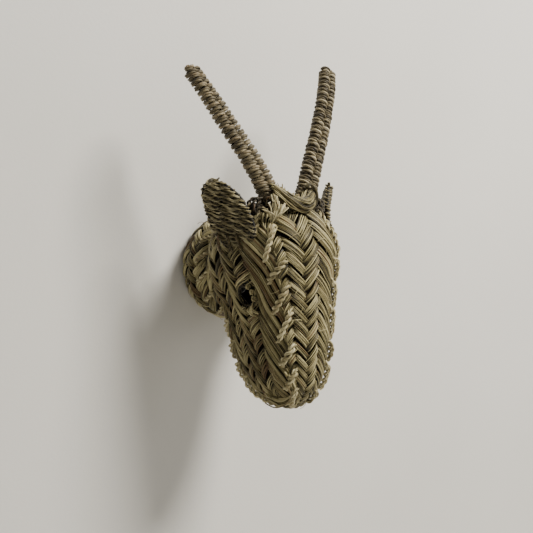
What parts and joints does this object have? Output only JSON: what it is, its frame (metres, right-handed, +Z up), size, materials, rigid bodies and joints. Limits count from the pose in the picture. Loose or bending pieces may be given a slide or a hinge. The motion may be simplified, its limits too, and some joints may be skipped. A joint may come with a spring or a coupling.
{
  "type": "woven grass goat head wall hanging",
  "caption": "Hollow goat's head plaited from dried grass, with two bound horns and two twined ears, that hangs on a wall from a small ring inside its neck.",
  "frame": {"origin": "centre of the hanging ring's hole, on the plane of the wall", "axes": "+Y points into the wall, -Y is the way the face looks, +Z is up and +X is the viewer's right"},
  "size_m": [0.1973, 0.1813, 0.378],
  "materials": {
    "braided_grass": "dry satin grass",
    "shaded_grass": "dry satin grass",
    "sewing_cord": "twisted grass cord",
    "horn_cord": "twisted grass cord",
    "ear_cord": "twisted grass cord",
    "grass_rod": "bundled grass"
  },
  "bodies": {
    "root": {"neck_collar": "braided_grass", "face_braid": "braided_grass", "left_cheek_braid": "braided_grass", "right_cheek_braid": "braided_grass", "jaw_braid": "shaded_grass", "muzzle_gather": "braided_grass", "left_face_seam": "sewing_cord", "right_face_seam": "sewing_cord", "left_jaw_seam": "sewing_cord", "right_jaw_seam": "sewing_cord", "collar_seam": "sewing_cord", "left_eye_rim": "shaded_grass", "right_eye_rim": "shaded_grass", "left_ear_ribs": "grass_rod", "right_ear_ribs": "grass_rod", "left_ear_weft": "ear_cord", "right_ear_weft": "ear_cord", "left_ear_ties": "sewing_cord", "right_ear_ties": "sewing_cord", "left_horn_rods": "grass_rod", "right_horn_rods": "grass_rod", "left_horn_binding": "horn_cord", "right_horn_binding": "horn_cord", "left_horn_lashing": "shaded_grass", "right_horn_lashing": "shaded_grass", "horn_yoke": "braided_grass", "forelock": "sewing_cord", "hanging_ring": "horn_cord", "ring_ties": "sewing_cord"}
  },
  "joints": []
}
